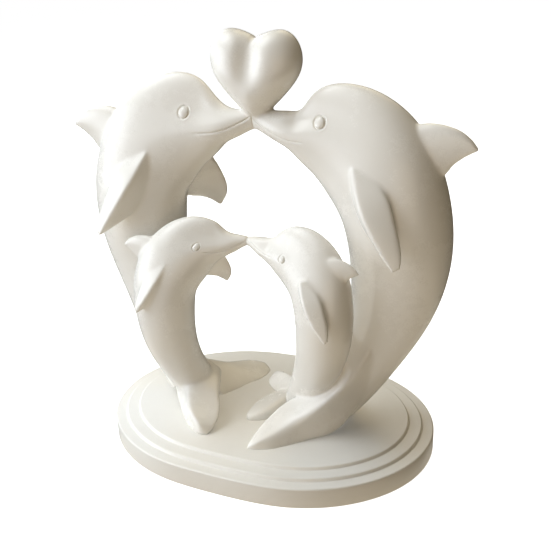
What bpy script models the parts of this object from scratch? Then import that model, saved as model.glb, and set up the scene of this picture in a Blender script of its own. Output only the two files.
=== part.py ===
"""Dolphin family figurine: two parents and two calves standing on their tails on a stepped oval plinth.

The four dolphins, their fins and flukes and the puffy heart are one casting. The plinth is a second piece
under it. Metres, +Z up. The origin is the middle of the plinth's underside, +X runs across the pair, -Y faces
the viewer.
"""

import bmesh
import bpy
import numpy as np

# Driving sizes of the plinth
PLINTH_LENGTH = 0.2015
PLINTH_WIDTH = 0.151
PLINTH_STRAIGHT = 0.031
SLAB_HEIGHT = 0.012
STEP_RISE = 0.002
TREAD_WIDTH = 0.0054
RISER_RUN = 0.0024
EDGE_ROUND = 0.001
STEP_COUNT = 2

# Driving sizes of the casting. The calves lean on their parents, so their height follows.
PARENT_HEIGHT = 0.200
CALF_HEIGHT = 0.625 * PARENT_HEIGHT
HEART_WIDTH = 0.0525
HEART_HEIGHT = 0.0465
HEART_DEPTH = 0.029
HEART_VALLEY_WIDTH = 0.0065
HEART_SEAT = 0.891 * PARENT_HEIGHT
HEART_OFF_MIDDLE = 0.0008
PAIR_SHIFT_X = -0.0028
PAIR_SHIFT_Y = -0.0015
SEAT_GAP = 0.0003

# Fineness of the faceted surfaces
OVAL_SEGMENTS = 64
BODY_RINGS = 29
BODY_SIDES = 16
EVEN_RINGS = 1
FIN_RINGS = 8
HEART_SIDES = 28
HEART_RINGS = 4

PLATEAU = SLAB_HEIGHT + STEP_COUNT * STEP_RISE

# Every figure is drawn in hundredths of its own height, from the floor it stands on and the plane where the
# beaks meet. Rows run from nose to heel. Girth: towards the back, towards the belly, to each side.
PARENT_GIRTH = np.array([
    (1.8, 2.5, 2.0), (2.9, 3.3, 3.0), (3.9, 4.2, 4.2), (5.0, 4.8, 5.0), (5.8, 6.2, 5.5), (11.0, 8.6, 6.0),
    (14.8, 10.6, 6.6), (16.5, 13.5, 7.6), (16.2, 14.8, 9.3), (14.9, 14.9, 10.5), (14.2, 14.7, 10.8),
    (13.4, 13.5, 9.8), (12.0, 11.4, 8.6), (9.9, 9.4, 7.5), (8.3, 7.7, 6.8), (6.6, 6.3, 6.4), (5.0, 5.4, 6.4),
])
CALF_GIRTH = np.array([
    (1.6, 1.9, 1.8), (2.6, 3.1, 2.8), (3.9, 4.4, 3.9), (5.2, 4.9, 5.0), (6.0, 6.2, 6.0), (10.2, 7.2, 6.8),
    (15.3, 9.2, 7.5), (16.9, 11.3, 8.4), (16.0, 11.8, 9.6), (14.3, 12.3, 10.4), (12.8, 12.9, 10.4),
    (11.6, 12.9, 9.9), (10.4, 12.6, 9.2), (9.2, 11.7, 8.4), (8.4, 10.4, 7.9), (7.9, 9.4, 7.6),
    (7.5, 8.6, 7.6),
])

# The middle line of each body at the same rows: outwards from the pair's middle plane, away from the viewer,
# up.
PARENT_LINE = np.array([
    (-0.5, 0, 88.9), (3.0, 0, 88.4), (6.5, 0, 87.5), (9.8, 0, 86.7), (12.5, 0.2, 86.1), (15.3, 0.5, 85.6),
    (20.0, 0.7, 84.7), (27.0, 0.6, 82.0), (34.0, 0.4, 76.8), (38.8, 0.9, 68.8), (40.8, 2.1, 58.5),
    (40.2, 3.0, 48.0), (38.0, 3.0, 37.5), (34.5, 2.2, 27.5), (30.2, 1.3, 18.0), (26.0, 0.5, 9.5),
    (22.5, 0, 3.5),
])
LEFT_PARENT_LINE = PARENT_LINE.copy()
LEFT_PARENT_LINE[-4:, 0] += (1.5, 3.3, 4.5, 5.0)
LEFT_CALF_LINE = np.array([
    (-0.8, -12.2, 90.2), (3.0, -12.4, 89.8), (6.4, -12.9, 89.0), (9.6, -13.3, 88.0), (12.4, -13.5, 87.4),
    (15.2, -13.9, 86.9), (20.0, -15.2, 85.6), (25.8, -17.4, 82.4), (32.4, -20.2, 76.8), (37.4, -21.8, 69.2),
    (39.8, -22.1, 60.0), (40.8, -21.5, 49.6), (41.0, -19.5, 39.2), (39.7, -16.4, 28.8), (37.2, -12.2, 19.2),
    (34.6, -8.0, 10.4), (33.0, -5.0, 4.8),
])
RIGHT_CALF_LINE = np.array([
    (-0.8, -12.2, 90.2), (3.0, -12.4, 89.8), (6.4, -12.9, 89.0), (9.6, -13.3, 88.0), (12.4, -13.5, 87.4),
    (15.2, -13.9, 86.9), (20.0, -15.2, 85.6), (27.6, -17.4, 82.4), (34.4, -20.2, 76.8), (38.2, -21.8, 69.2),
    (40.0, -22.1, 60.0), (39.4, -20.5, 50.4), (37.1, -17.2, 40.8), (33.5, -13.2, 32.0), (28.7, -8.2, 23.2),
    (23.6, -2.5, 14.4), (18.8, 2.4, 4.6),
])
LEFT_CALF_SWELL = 1.16

# Extra back girth over the rows from the forehead to the nape, which sets each head apart, and the share by
# which each row is narrower above its middle where the forehead meets the beak.
BROW_ROWS = slice(3, 9)
BROW_PINCH = (0, 0, 0.05, 0.2, 0.4, 0.42, 0.3, 0.12, 0, 0, 0, 0, 0, 0, 0, 0, 0)
LEFT_PARENT_BROW = (1.6, 5.4, 2.6, 1.8, 0.8, 0)
RIGHT_PARENT_BROW = (0, 0, 0, 0, 0.6, 0.8)
LEFT_CALF_BROW = (1.2, 3.8, 1.6, 0, -0.6, -0.4)
RIGHT_CALF_BROW = (0, 0, 0, 0.3, 1.8, 1.4)

# The heart's outline: the round wave and the higher ones in turn, the depth of the notch on top, the share by
# which the valley is lower than the lobes, and the angle by which it leans.
HEART_ROUND = 23.2
HEART_WAVES = (-5.2, -2.23, -0.69, 0.11, 0.34)
HEART_NOTCH = 2.0
HEART_VALLEY = 0.36
HEART_LEAN = 0.02

# Fins are drawn on a parent and move with the shoulder. Each rail runs from root to tip: outwards, away from
# the middle of the back, up.
SHOULDER = 9
DORSAL_LEAD = np.array([(42, 0, 88.5), (46.5, 0, 90), (51, 0, 90), (55.5, 0, 88.8), (58.7, 0, 86.6),
                        (60.6, 0, 84.2)])
DORSAL_TRAIL = np.array([(50, 0, 75), (52.8, 0, 77.5), (54.5, 0, 79.8), (56.5, 0, 81.5), (58.5, 0, 82.8),
                         (60.4, 0, 83.8)])
DORSAL_THICK = (2.8, 2.4, 2.0, 1.5, 1.0, 0.5)

FAR_LEAD = np.array([(20, 5, 79), (20, 10, 75.5), (19.3, 13, 71.5), (17.8, 14.5, 66.5), (17.8, 15, 62.5),
                     (20, 15, 58.5)])
FAR_TRAIL = np.array([(34, 5, 65), (32, 10, 62), (29.5, 12.5, 61), (26.5, 14, 60.7), (24, 14.8, 60),
                      (20.8, 15, 58.6)])
FAR_THICK = (2.8, 2.2, 1.8, 1.4, 1.1, 0.6)

NEAR_BELLY = np.array([(29, 7.0, 77.5), (30.2, 7.8, 71.5), (32.5, 8.2, 65.5), (36.5, 9.4, 60.5),
                       (43.6, 15, 55.4)])
NEAR_CREST = np.array([(30.6, 8.8, 79), (33, 12.8, 72.8), (36.1, 15.2, 67), (40.4, 16.2, 60.4),
                       (44, 15.9, 55.2)])
NEAR_REAR = np.array([(33.2, 7.4, 79.6), (40.6, 10.5, 73.6), (43.8, 12.3, 66.9), (45.9, 13.7, 60.6),
                      (46.4, 15, 56.3)])
NEAR_ROOT = np.array([(33, 5, 78), (38, 5, 72.5), (40, 5.5, 66), (41.5, 8, 60.5), (44.2, 14.8, 55.8)])

FLUKE_RIDGE = np.array([(29, 3, 20), (26.5, 7, 15), (23.2, 10.6, 11.8), (20, 13.2, 9.5), (17.6, 17, 7.7),
                        (14.2, 21.2, 6.2), (9.2, 24.4, 3.8), (5.6, 24.4, 0.9)])
FLUKE_FOOT = np.array([(31, 3, 10), (28.5, 7, 4), (25.3, 11, 0), (22.5, 14, -1.2), (19, 17.5, -1.2),
                       (14.6, 21.4, -1.2), (9, 24.4, -1.2), (5.4, 24.4, -0.8)])
FLUKE_TRAIL = np.array([(15, 0, 10), (12.3, 5.5, 9.4), (10.2, 10.5, 8), (8, 14, 5.8), (6.5, 17.5, 4),
                        (5.8, 20.5, 2.6), (5.4, 22.6, 1.6), (5.3, 24, 0.7)])
FLUKE = (FLUKE_RIDGE, FLUKE_FOOT, FLUKE_TRAIL)
FLUKE_EDGE = 1.8

# The right parent's near fluke starts higher, as a keel along its tail in front of the right calf.
TAIL_RIDGE = np.array([(38, 1.5, 38), (36.8, 4.6, 30.7), (33.3, 7.9, 22.9), (29.2, 10.3, 17.1),
                       (24.2, 12.4, 12.2), (19.7, 14.4, 8.4), (16.2, 16.4, 6), (13.3, 18.8, 4.4),
                       (10.6, 21.6, 3.2), (8, 23.8, 2.2), (5.6, 24.4, 0.9)])
TAIL_FOOT = np.array([(36, 0, 34), (38.2, 2, 25), (36, 2.5, 16), (32.5, 3, 8), (28.8, 5, 1), (25.5, 9, -1.2),
                      (20.8, 13.6, -1.2), (16.6, 18.4, -1.2), (12, 22.6, -1.2), (8.2, 24, -1.2),
                      (5.4, 24.4, -0.8)])
TAIL_TRAIL = np.array([(28, 2, 36.5), (28.6, 5, 28.8), (27.2, 7.3, 21.5), (23.7, 8.2, 15.2),
                       (18.2, 7.8, 11.4), (13.2, 7.4, 9.6), (10.3, 10.4, 8), (8, 14, 5.8), (6.5, 17.6, 4),
                       (5.6, 21.6, 2), (5.3, 24, 0.7)])
FAR_FLUKE_RISE = 0.62
LEFT_PARENT_FLUKE_TIP = (3.0, -2.4, 0)

# The right calf's own two flukes, in hundredths of its height: thin edge, ridge and foot of the outer wall.
NEAR_LEAF_EDGE = np.array([(10, 20, 3), (3, 15, 1.8), (-2, 8.5, 1.5), (-4.3, 1.5, 1.4), (-4.9, -6, 1.2),
                           (-4.4, -12.5, 1.0), (-2.6, -16, 0.8)])
NEAR_LEAF_RIDGE = np.array([(17, 8, 8), (12.5, 5.5, 6.8), (9.2, 2.5, 5.6), (7.4, -3.5, 4.8), (5.4, -9.5, 4.0),
                            (2.4, -14, 2.8), (-1.4, -16.6, 1.2)])
NEAR_LEAF_FOOT = np.array([(21, 2, -1), (17.5, -1, -1), (14.5, -5, -1), (11.8, -9, -1), (8.4, -12.5, -1),
                           (4, -15.6, -1), (-1, -17.2, -0.6)])
FAR_LEAF_EDGE = np.array([(14, 4, -0.2), (8, 8, -0.2), (2, 11.5, -0.2), (-3.5, 15.2, -0.2), (-8, 20.5, 0),
                          (-9.6, 25.5, 0.2), (-9.2, 29.5, 0.3)])
FAR_LEAF_RIDGE = np.array([(18, 4, 9), (13, 12, 8.6), (7.6, 18.5, 8.2), (2.5, 23.3, 7.4), (-2.5, 26.4, 6),
                           (-6.5, 29.4, 3.6), (-8.6, 30.8, 1.2)])
FAR_LEAF_FOOT = np.array([(22, 8, -1), (17.5, 15, -1), (12, 22.5, -1), (6, 28, -1), (0, 31.5, -1),
                          (-4.5, 33, -1), (-8, 32.5, -0.6)])
LEAF_EDGE = 3

# Eyes: shallow beads, in hundredths of the figure's height.
PARENT_EYE = np.array((20.3, -4.6, 89.7))
CALF_EYE = np.array((20.9, -20.8, 87.2))
EYE_RADIUS = 1.75
EYE_RISE = 0.7

# What sets each figure apart: its side of the pair, its line, its fullness, its brow, how its fins are
# shifted, and how far the tips of its flukes are shifted. The calves have no flukes of this kind.
PARENT = dict(girth=PARENT_GIRTH, eye=PARENT_EYE, height=PARENT_HEIGHT, swell=1.0,
              dorsal=(0, 0, 0), near=(0, 0, 0), far=(0, 0, 0))
CALF = dict(girth=CALF_GIRTH, eye=CALF_EYE, height=CALF_HEIGHT, flukes=None)
FIGURES = {
    "left_parent": dict(PARENT, side=-1, line=LEFT_PARENT_LINE, brow=LEFT_PARENT_BROW,
                        flukes=LEFT_PARENT_FLUKE_TIP),
    "right_parent": dict(PARENT, side=1, line=PARENT_LINE, brow=RIGHT_PARENT_BROW,
                         flukes=(0, 0, 0), near_fluke=(TAIL_RIDGE, TAIL_FOOT, TAIL_TRAIL)),
    "left_calf": dict(CALF, side=-1, line=LEFT_CALF_LINE, swell=LEFT_CALF_SWELL, brow=LEFT_CALF_BROW,
                      dorsal=(0, 0, 0), near=(3, 1, 2), far=(-5, 0, 8)),
    "right_calf": dict(CALF, side=1, line=RIGHT_CALF_LINE, swell=1.0, brow=RIGHT_CALF_BROW,
                       dorsal=(-4.2, -0.3, 0.4), near=(2, 1, 2), far=(2, -2, 4)),
}


def smooth_rows(rows, count):
    """A smooth curve through the rows, evenly stepped from row to row: a Catmull-Rom spline per column."""
    rows = np.asarray(rows, float)
    padded = np.vstack([2 * rows[:1] - rows[1:2], rows, 2 * rows[-1:] - rows[-2:-1]])
    place = np.linspace(0, len(rows) - 1, count)
    start = np.minimum(place.astype(int), len(rows) - 2)
    share = (place - start)[:, None]
    before, here, there, after = (padded[start + step] for step in range(4))
    return 0.5 * (2 * here + (there - before) * share
                  + (2 * before - 5 * here + 4 * there - after) * share ** 2
                  + (3 * here - before - 3 * there + after) * share ** 3)


def unit_rows(rows):
    """Each row at length one."""
    return rows / np.linalg.norm(rows, axis=1, keepdims=True)


def smooth_step(values):
    """A soft rise from 0 to 1."""
    values = np.clip(values, 0, 1)
    return values * values * (3 - 2 * values)


def egg_rings(middle, girth, sides, sideways, pinch):
    """Egg-shaped rings across a line: half ellipses of the first and second girth, as wide as the third.

    The pinch is the share by which a ring is narrower above its middle.
    """
    along = unit_rows(np.gradient(middle, axis=0))
    side = unit_rows(np.cross(along, np.cross(sideways, along)))
    back = unit_rows(np.cross(along, side))
    angle = np.linspace(0, 2 * np.pi, sides, endpoint=False)
    rise = np.where(np.cos(angle) > 0, girth[:, :1], girth[:, 1:2]) * np.cos(angle)
    reach = girth[:, 2:] * np.sin(angle) * (1 - pinch * smooth_step(np.cos(angle) / 0.55))
    rings = middle[:, None] + back[:, None] * rise[..., None] + side[:, None] * reach[..., None]
    return rings, along


def evened(rings):
    """Rings with the ripples between rows taken out: twice a bell-weighted mean, less its own mean."""
    reach = np.arange(-3 * EVEN_RINGS, 3 * EVEN_RINGS + 1)
    weights = np.exp(-0.5 * (reach / EVEN_RINGS) ** 2)
    weights /= weights.sum()

    def mean(stack):
        before = 2 * stack[:1] - stack[3 * EVEN_RINGS:0:-1]
        after = 2 * stack[-1:] - stack[-2:-3 * EVEN_RINGS - 2:-1]
        padded = np.concatenate([before, stack, after])
        return sum(weight * padded[step:step + len(stack)] for step, weight in enumerate(weights))

    return 2 * mean(rings) - mean(mean(rings))


def body_rings(line, girth, swell):
    """Rings of a body, rounded shut at the nose. From the chest on it is fuller by the swell."""
    figures = smooth_rows(np.hstack([line, girth]), BODY_RINGS)
    middle, girth = figures[:, :3], figures[:, 3:]
    girth = girth * np.interp(np.linspace(0, 1, BODY_RINGS), (0.38, 0.52), (1, swell))[:, None]
    pinch = smooth_rows(np.array(BROW_PINCH)[:, None], BODY_RINGS)
    rings, along = egg_rings(middle, girth, BODY_SIDES, (0.0, 1.0, 0.0), pinch)
    rings = evened(rings)
    cap = [middle[0] + (rings[0] - middle[0]) * np.cos(turn) - along[0] * girth[0, 2] * 0.8 * np.sin(turn)
           for turn in (1.2, 0.65)]
    return np.concatenate([cap, rings])


def rounded(corners, cut):
    """A closed outline with its corners cut back by a share of each side."""
    following = np.roll(corners, -1, axis=-2)
    pairs = np.stack([(1 - cut) * corners + cut * following, cut * corners + (1 - cut) * following], axis=-2)
    return pairs.reshape(*corners.shape[:-2], -1, corners.shape[-1])


def rail_rings(rails, count, cut):
    """Rings that join the smooth curves through a few rails, with softened corners."""
    return rounded(np.stack([smooth_rows(rail, count) for rail in rails], axis=1), cut)


def blade_rings(lead, trail, thickness):
    """Rings of a thin fin from its leading to its trailing edge: thickest two fifths back, thin behind."""
    lead, trail = smooth_rows(lead, FIN_RINGS), smooth_rows(trail, FIN_RINGS)
    depth = smooth_rows(np.array(thickness)[:, None], FIN_RINGS)
    section = np.array([(0.0, 0.0), (0.15, 0.75), (0.45, 1.0), (0.9, 0.45), (1.0, 0.0), (0.9, -0.45),
                        (0.45, -1.0), (0.15, -0.75)])
    chord = lead[:, None] + (trail - lead)[:, None] * section[None, :, :1]
    return chord + np.array((0, 1, 0)) * (depth[:, None] * section[None, :, 1:])


def wedge_rings(ridge, foot, edge, depth):
    """Rings of a wedge between its ridge, the foot of its outer wall and its edge, deep by the depth."""
    under = edge - np.array((0, 0, 1)) * np.reshape(depth, (-1, 1))
    return rail_rings([ridge, foot, under, edge], FIN_RINGS + 3, 0.14)


def fluke_rings(rails, rise, trail_rise, tip):
    """Rings of one fluke: a wedge whose heights are its ridge's and its trailing edge's own shares."""
    ridge, foot, trail = rails
    share = np.linspace(0, 1, len(trail))[:, None]
    shift = np.array(tip) * share ** 2
    ridge, trail = ridge * (1, 1, rise), trail * (1, 1, trail_rise)
    return wedge_rings(ridge + shift, foot + shift, trail + shift, FLUKE_EDGE * (1 - 0.7 * share))


def eye_rings(centre):
    """Rings of a shallow bead facing the viewer."""
    turn = np.linspace(0, 2 * np.pi, 12, endpoint=False)
    tilt = np.linspace(-1.4, 1.4, 6)[:, None]
    ring = np.stack([np.cos(turn) * np.cos(tilt) * EYE_RADIUS, np.sin(tilt) * EYE_RISE + 0 * turn,
                     np.sin(turn) * np.cos(tilt) * EYE_RADIUS], axis=-1)
    return ring + centre


def skin(name, rings):
    """A closed mesh object over a stack of rings, with its two ends filled."""
    count, sides = rings.shape[:2]
    mesh = bpy.data.meshes.new(name)
    row = np.arange(count - 1)[:, None] * sides
    here = np.arange(sides)[None]
    there = (here + 1) % sides
    quads = np.stack([row + here, row + there, row + sides + there, row + sides + here], axis=-1)
    quads = quads.reshape(-1, 4)
    ends = [list(range(sides - 1, -1, -1)), list(range((count - 1) * sides, count * sides))]
    mesh.from_pydata(rings.reshape(-1, 3), [], quads.tolist() + ends)
    work = bmesh.new()
    work.from_mesh(mesh)
    bmesh.ops.triangulate(work, faces=work.faces)
    bmesh.ops.recalc_face_normals(work, faces=work.faces)
    work.to_mesh(mesh)
    work.free()
    return bpy.data.objects.new(name, mesh)


def placed(rings, height, side):
    """Rings of a figure moved from hundredths of its height to its place on its side of the plinth."""
    scale = np.array((side, 1, 1)) * height / 100
    return rings * scale + np.array((PAIR_SHIFT_X, PAIR_SHIFT_Y, PLATEAU))


def dolphin(name, line, girth, eye, height, side, swell, brow, dorsal, near, far, flukes,
            near_fluke=FLUKE):
    """The closed pieces of one dolphin: body, eyes, three fins and, where they are its own, two flukes."""
    girth = girth.copy()
    girth[BROW_ROWS, 0] += brow
    shoulder = line[SHOULDER] - PARENT_LINE[SHOULDER]
    viewer = np.array((1, -1, 1))
    other_side = np.array((0, 2 * line[6, 1], 0))
    pieces = {
        "body": body_rings(line, girth, swell),
        "near_eye": eye_rings(eye),
        "far_eye": eye_rings(eye * viewer + other_side),
        "dorsal_fin": blade_rings(DORSAL_LEAD, DORSAL_TRAIL, DORSAL_THICK) + shoulder + dorsal,
        "far_fin": blade_rings(FAR_LEAD, FAR_TRAIL, FAR_THICK) + shoulder + far,
        "near_fin": rail_rings([NEAR_ROOT, NEAR_BELLY, NEAR_CREST, NEAR_REAR], FIN_RINGS, 0.1) * viewer
        + shoulder + near,
    }
    if flukes:
        pieces["near_fluke"] = fluke_rings(near_fluke, 1, 1, flukes) * viewer
        pieces["far_fluke"] = fluke_rings(FLUKE, FAR_FLUKE_RISE, 0, flukes)
    return [skin(f"{name}_{part}", placed(rings, height, side)) for part, rings in pieces.items()]


def heart_rings():
    """Rings of the puffy heart from its front to its back: a rim drawn in towards the middle as it swells.

    The rim is a sum of sines and cosines with a notch on top. Its lobes round off and a valley runs down
    between them as the rings draw in. The whole leans sideways by a small angle.
    """
    turn = np.linspace(0, 2 * np.pi, HEART_SIDES, endpoint=False)[None]
    tilt = np.linspace(-0.5 * np.pi, 0.5 * np.pi, 2 * HEART_RINGS + 1)[1:-1, None]
    inner = np.cos(tilt) ** 0.9
    across = 0.43 * np.sin(turn) + 0.57 * np.sin(turn) ** 3
    across = across / np.ptp(across) * HEART_WIDTH
    lobes = sum(size * np.cos(order * turn) for order, size in enumerate(HEART_WAVES, start=2))
    lobes = lobes - HEART_NOTCH * np.exp(-(np.sin(turn) / 0.14) ** 2) * (np.cos(turn) > 0)
    rim = HEART_ROUND * np.cos(turn) + lobes
    up = (HEART_ROUND * np.cos(turn) + lobes * inner - rim.min()) / np.ptp(rim) - 0.5
    across, up = across * inner, HEART_HEIGHT * (up * inner + 0.5)
    lobed = smooth_step((up / HEART_HEIGHT - 0.2) / 0.6)
    valley = HEART_VALLEY * np.exp(-(across / HEART_VALLEY_WIDTH) ** 2) * lobed
    depth = 0.5 * HEART_DEPTH * np.sin(tilt) * (1 - valley)
    lean = np.array((np.cos(HEART_LEAN), np.sin(HEART_LEAN)))
    rings = np.stack([across * lean[0] + up * lean[1], depth, up * lean[0] - across * lean[1]], axis=2)
    return rings + np.array((PAIR_SHIFT_X + HEART_OFF_MIDDLE, PAIR_SHIFT_Y, PLATEAU + HEART_SEAT))


def oval(inset):
    """The plinth's outline drawn in by a distance: two half ellipses joined by a short straight."""
    turn = np.linspace(0, 2 * np.pi, OVAL_SEGMENTS, endpoint=False)
    half = (PLINTH_LENGTH - PLINTH_STRAIGHT) / 2
    outline = np.stack([half * np.cos(turn) + np.sign(np.cos(turn).round(9)) * PLINTH_STRAIGHT / 2,
                        PLINTH_WIDTH / 2 * np.sin(turn)], axis=1)
    normal = unit_rows(np.stack([np.cos(turn) / half, np.sin(turn) / (PLINTH_WIDTH / 2)], axis=1))
    return outline - normal * inset


def plinth_rings():
    """Rings of the stepped plinth from its underside over the wall and steps to the plateau's edge."""
    bevel = EDGE_ROUND * 0.3
    profile = [(bevel, 0), (0, bevel), (0, SLAB_HEIGHT - EDGE_ROUND), (bevel, SLAB_HEIGHT - bevel),
               (EDGE_ROUND, SLAB_HEIGHT)]
    for step in range(STEP_COUNT):
        foot = EDGE_ROUND + TREAD_WIDTH + step * (TREAD_WIDTH + RISER_RUN)
        floor = SLAB_HEIGHT + step * STEP_RISE
        profile += [(foot, floor), (foot + 0.35 * RISER_RUN, floor + 0.7 * STEP_RISE),
                    (foot + RISER_RUN, floor + STEP_RISE)]
    rings = [np.column_stack([oval(inset), np.full(OVAL_SEGMENTS, level)]) for inset, level in profile]
    return np.stack(rings)


def resin(name, colour, roughness):
    """A satin resin finish."""
    finish = bpy.data.materials.new(name)
    finish.use_nodes = True
    shader = finish.node_tree.nodes["Principled BSDF"]
    shader.inputs["Base Color"].default_value = (*colour, 1)
    shader.inputs["Roughness"].default_value = roughness
    shader.inputs["Metallic"].default_value = 0
    return finish


def collection(name):
    group = bpy.data.collections.new(name)
    bpy.context.scene.collection.children.link(group)
    return group


def helper(part, group):
    """Puts a cutter or a piece to be joined out of sight."""
    group.objects.link(part)
    part.hide_render = True
    part.display_type = "WIRE"


def main():
    for old in list(bpy.data.objects):
        bpy.data.objects.remove(old, do_unlink=True)
    figurine = collection("dolphin_figurine")
    joined = collection("joined_pieces")
    cutters = collection("cutters")

    plinth = skin("stepped_plinth", plinth_rings())
    plinth.data.materials.append(resin("plinth_resin", (0.86, 0.84, 0.79), 0.38))
    figurine.objects.link(plinth)

    pieces = [piece for name, figure in FIGURES.items() for piece in dolphin(name, **figure)]
    for name, ridge, foot, edge in (("near_leaf", NEAR_LEAF_RIDGE, NEAR_LEAF_FOOT, NEAR_LEAF_EDGE),
                                    ("far_leaf", FAR_LEAF_RIDGE, FAR_LEAF_FOOT, FAR_LEAF_EDGE)):
        pieces.append(skin(name, placed(wedge_rings(ridge, foot, edge, LEAF_EDGE), CALF_HEIGHT, 1)))
    pieces.append(skin("heart", heart_rings()))
    family = pieces[0]
    for piece in pieces[1:]:
        helper(piece, joined)

    family.name = "dolphin_family"
    figurine.objects.link(family)
    family.data.materials.append(resin("family_resin", (0.88, 0.86, 0.81), 0.32))
    union = family.modifiers.new("cast_together", "BOOLEAN")
    union.operation = "UNION"
    union.operand_type = "COLLECTION"
    union.collection = joined
    union.solver = "EXACT"

    seat_level = PLATEAU + SEAT_GAP
    corners = PLINTH_LENGTH * np.array([(-1, -1), (1, -1), (1, 1), (-1, 1)])
    floor = skin("seat_cutter", np.array([np.insert(corners, 2, level, axis=1)
                                          for level in (seat_level - PARENT_HEIGHT / 10, seat_level)]))
    helper(floor, cutters)
    seat = family.modifiers.new("seat", "BOOLEAN")
    seat.operation = "DIFFERENCE"
    seat.object = floor
    seat.solver = "EXACT"


main()
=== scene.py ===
"""Looks of the dolphin family figurine: parents and calves under a puffy heart, on a stepped oval plinth.

The casting is drawn as smooth closed surfaces, fused in one skin, softened in its creases and then carved
with its mouths, eyes and beak seams. Lengths are in metres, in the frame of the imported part. Figures are
drawn in hundredths of their height.
"""

import math

import bmesh
import bpy
import numpy as np
from mathutils import Matrix, Vector


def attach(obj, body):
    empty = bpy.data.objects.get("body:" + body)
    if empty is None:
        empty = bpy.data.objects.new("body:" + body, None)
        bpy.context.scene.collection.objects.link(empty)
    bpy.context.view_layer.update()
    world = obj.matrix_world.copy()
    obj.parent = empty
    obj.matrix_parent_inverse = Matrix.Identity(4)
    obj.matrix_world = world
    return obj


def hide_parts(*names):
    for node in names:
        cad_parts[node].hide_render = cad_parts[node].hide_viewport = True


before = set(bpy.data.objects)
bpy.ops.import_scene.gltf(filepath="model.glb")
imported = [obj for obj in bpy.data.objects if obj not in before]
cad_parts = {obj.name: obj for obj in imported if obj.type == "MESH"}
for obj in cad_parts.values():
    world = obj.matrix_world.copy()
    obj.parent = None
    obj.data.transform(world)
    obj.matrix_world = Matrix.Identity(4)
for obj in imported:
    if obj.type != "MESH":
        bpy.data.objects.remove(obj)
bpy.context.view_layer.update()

# Driving sizes, as in the part
PLINTH_LENGTH = 0.2015
PLINTH_WIDTH = 0.151
PLINTH_STRAIGHT = 0.031
SLAB_HEIGHT = 0.012
STEP_RISE = 0.002
TREAD_WIDTH = 0.0054
RISER_RUN = 0.0024
STEP_COUNT = 2
PARENT_HEIGHT = 0.200
CALF_HEIGHT = 0.625 * PARENT_HEIGHT
HEART_WIDTH = 0.0525
HEART_HEIGHT = 0.0465
HEART_DEPTH = 0.029
HEART_VALLEY_WIDTH = 0.0065
HEART_SEAT = 0.891 * PARENT_HEIGHT
HEART_OFF_MIDDLE = 0.0008
PAIR_SHIFT_X = -0.0028
PAIR_SHIFT_Y = -0.0015
PLATEAU = SLAB_HEIGHT + STEP_COUNT * STEP_RISE
SEAT_LIFT = 0.00003
SEAT_PRECISION = 1e-7

# Roundings of the plinth, each with its number of points in the profile
LIP_ROUND = 0.0004
EDGE_ROUND = 0.001
FOOT_ROUND = 0.0006
CROWN_ROUND = 0.0011
LIP_POINTS = 4
EDGE_POINTS = 7
FOOT_POINTS = 5
CROWN_POINTS = 6

# A riser's slope, as shares of the step's rise and run. The middle of its foot round lies outside the foot
# by a share of that round, and the middle of its crown further in by a share of the run.
SLOPE_RISE = 0.7
SLOPE_RUN = 0.35
FOOT_PLACE = 0.4
CROWN_PLACE = 0.62

# How sharply the two halves of the plinth's ellipse move apart
STRAIGHT_PART = 6

# Fineness of the surfaces
OVAL_SEGMENTS = 288
BODY_RINGS = 190
BODY_SIDES = 96
NOSE_RINGS = 10
FIN_RINGS = 44
FIN_SIDES = 40
HEART_SIDES = 220
HEART_RINGS = 40
MOUTH_STEPS = 60
SKIN_GRAIN = 0.00075
SKIN_FACES = 186000
CARVING_CUTS = 2

# Evening of the bodies: the width and the reach of the bell, in rings
EVEN_RINGS = 7
EVEN_REACH = 3 * EVEN_RINGS

# Softening of the skin: its rounds, how many of them share their normals, and the pull in creases and on
# ridges
RELAX_ROUNDS = 14
RELAX_SHARED = 4
CREASE_PULL = 0.5
RIDGE_PULL = 0.12

# Depths and widths of what is carved in the faces, for a parent. A lip lies beside the mouth line by its
# offset.
MOUTH_DEPTH = 0.00055
MOUTH_WIDTH = 0.00036
LIP_SWELL = 0.00015
LOWER_LIP_OFFSET = 0.0013
LOWER_LIP_WIDTH = 0.0008
UPPER_LIP_OFFSET = 0.001
UPPER_LIP_WIDTH = 0.0006
UPPER_LIP_SHARE = 0.4
EYE_RADIUS = 0.0030
EYE_RISE = 0.0014
SOCKET_DEPTH = 0.0002
SOCKET_LENGTH = 0.0056
SOCKET_HEIGHT = 0.0040
SOCKET_SLOPE = 1.6
RIM_DEPTH = 0.0003
RIM_WIDTH = 0.00035
RIM_RADIUS = EYE_RADIUS * 1.08
LID_SHARE = 0.5
LID_WIDTH = 0.0005
LID_RADIUS = EYE_RADIUS * 1.42
SEAM_DEPTH = 0.0007
SEAM_WIDTH = 0.0004

# Where two beaks meet: the height over the plateau, half the seam's height, and how softly it ends
BEAK_LEVELS = ((0.1775, 0.0052), (0.1126, 0.0032))
BEAK_FADE = 0.001

# How far round the mouth lines, the seams and the eyes the skin is made finer before it is carved
MOUTH_ZONE = 0.0035
SEAM_ZONE = 0.6 * MOUTH_ZONE
EYE_ZONE = 0.0062

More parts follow.
